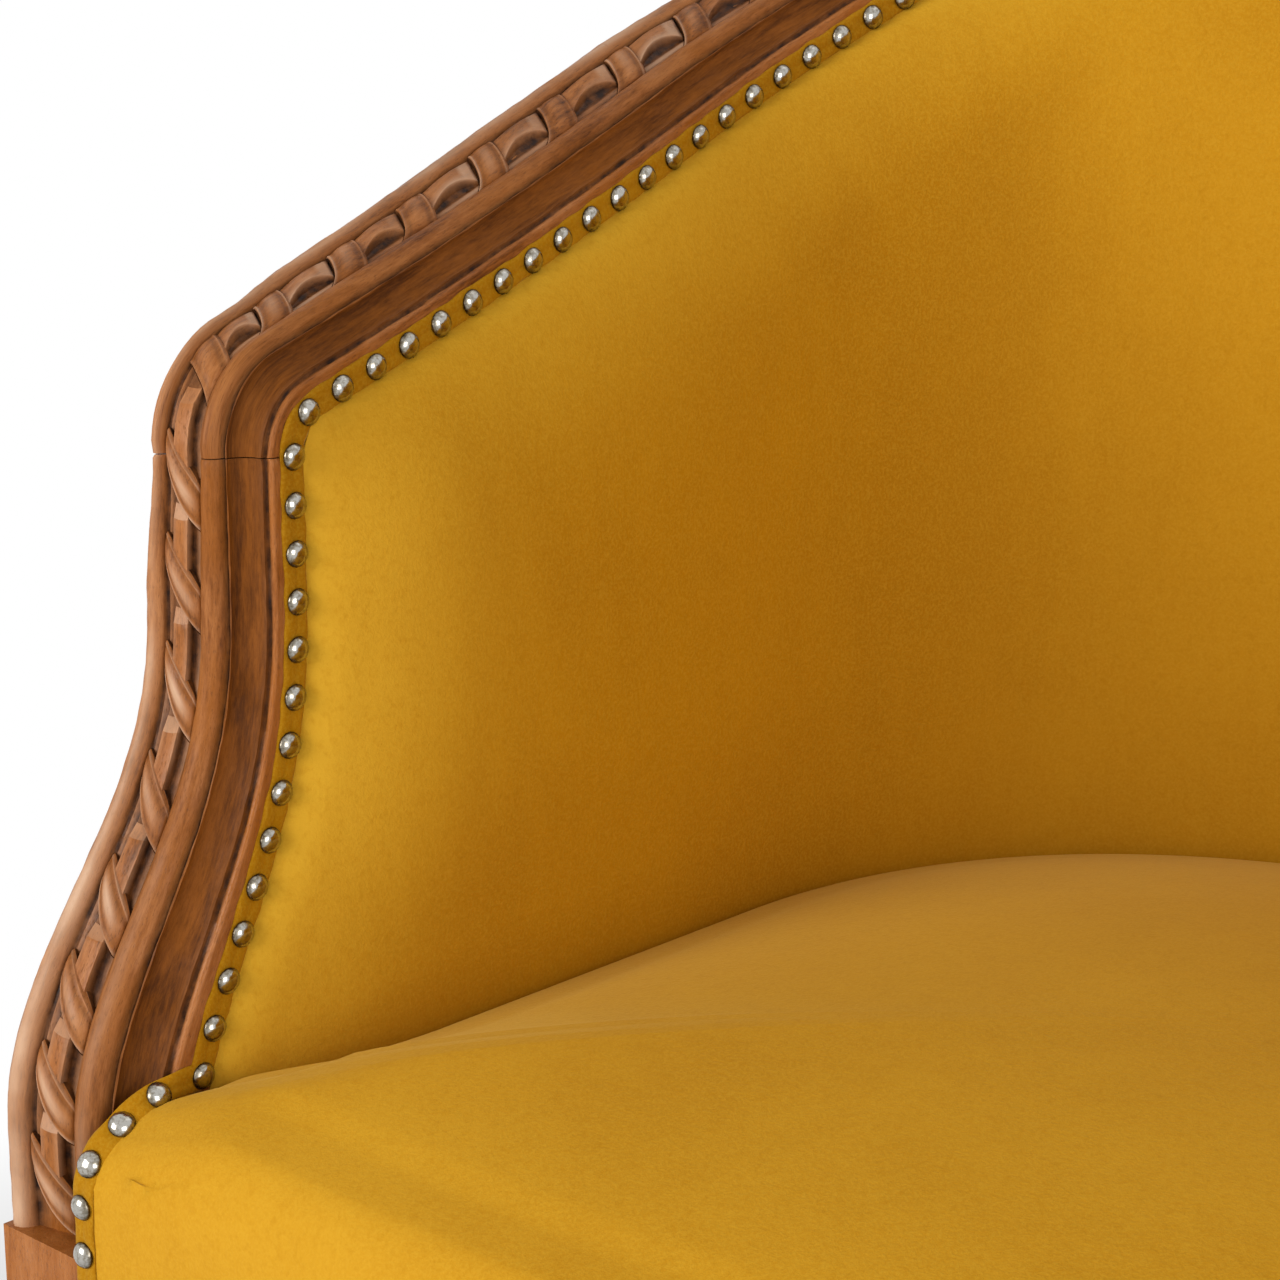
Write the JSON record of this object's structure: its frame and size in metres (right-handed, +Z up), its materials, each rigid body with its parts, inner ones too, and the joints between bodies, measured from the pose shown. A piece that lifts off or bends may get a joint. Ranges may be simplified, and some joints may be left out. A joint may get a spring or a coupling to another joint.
{
  "type": "occasional chair",
  "caption": "Upholstered tub armchair with carved show-wood arms and crest, tight sprung seat, velvet covers edged with domed nails, turned front legs and raked rear legs",
  "frame": {"origin": "On the floor, midway between the left and right sides and midway between the front and the back", "axes": "+Z is up, the sitter faces -Y, and +X is on the sitter's left hand, which is the right as seen from the front. Node names call the -X side left"},
  "size_m": [0.7408, 0.6446, 0.9159],
  "materials": {
    "show_wood": "satin stained and waxed",
    "bare_wood": "unfinished",
    "velvet": "short-pile velvet",
    "nickel": "polished nickel plate",
    "steel": "plain",
    "jute": "woven jute",
    "foam": "open-cell foam",
    "lining": "thin woven lining"
  },
  "bodies": {
    "root": {"front_leg_left": "show_wood", "front_leg_right": "show_wood", "rear_leg_left": "show_wood", "rear_leg_right": "show_wood", "glide_front_left": "steel", "glide_front_right": "steel", "glide_rear_left": "steel", "glide_rear_right": "steel", "front_seat_rail": "show_wood", "side_seat_rail_left": "show_wood", "side_seat_rail_right": "show_wood", "back_seat_rail": "show_wood", "arm_post_left": "show_wood", "arm_post_right": "show_wood", "arm_rail_left": "show_wood", "arm_rail_right": "show_wood", "crest_rail": "show_wood", "side_upright_left": "bare_wood", "side_upright_right": "bare_wood", "back_upright": "bare_wood", "stay_rail_left": "bare_wood", "stay_rail_right": "bare_wood", "stay_rail_back": "bare_wood", "front_brace_left": "bare_wood", "front_brace_right": "bare_wood", "rear_brace_left": "bare_wood", "rear_brace_right": "bare_wood", "brace_screws": "steel", "rail_dowels": "bare_wood", "webbing_lengthwise": "jute", "webbing_crosswise": "jute", "seat_springs": "steel", "spring_cloth": "jute", "seat_foam": "foam", "seat_cover": "velvet", "dust_cover": "lining", "back_webbing": "jute", "back_hessian": "jute", "inside_cover": "velvet", "outside_cover": "velvet", "inside_band": "velvet", "seat_band": "velvet", "outside_band": "velvet", "inside_nails": "nickel", "seat_nails": "nickel", "outside_nails": "nickel"}
  },
  "joints": []
}
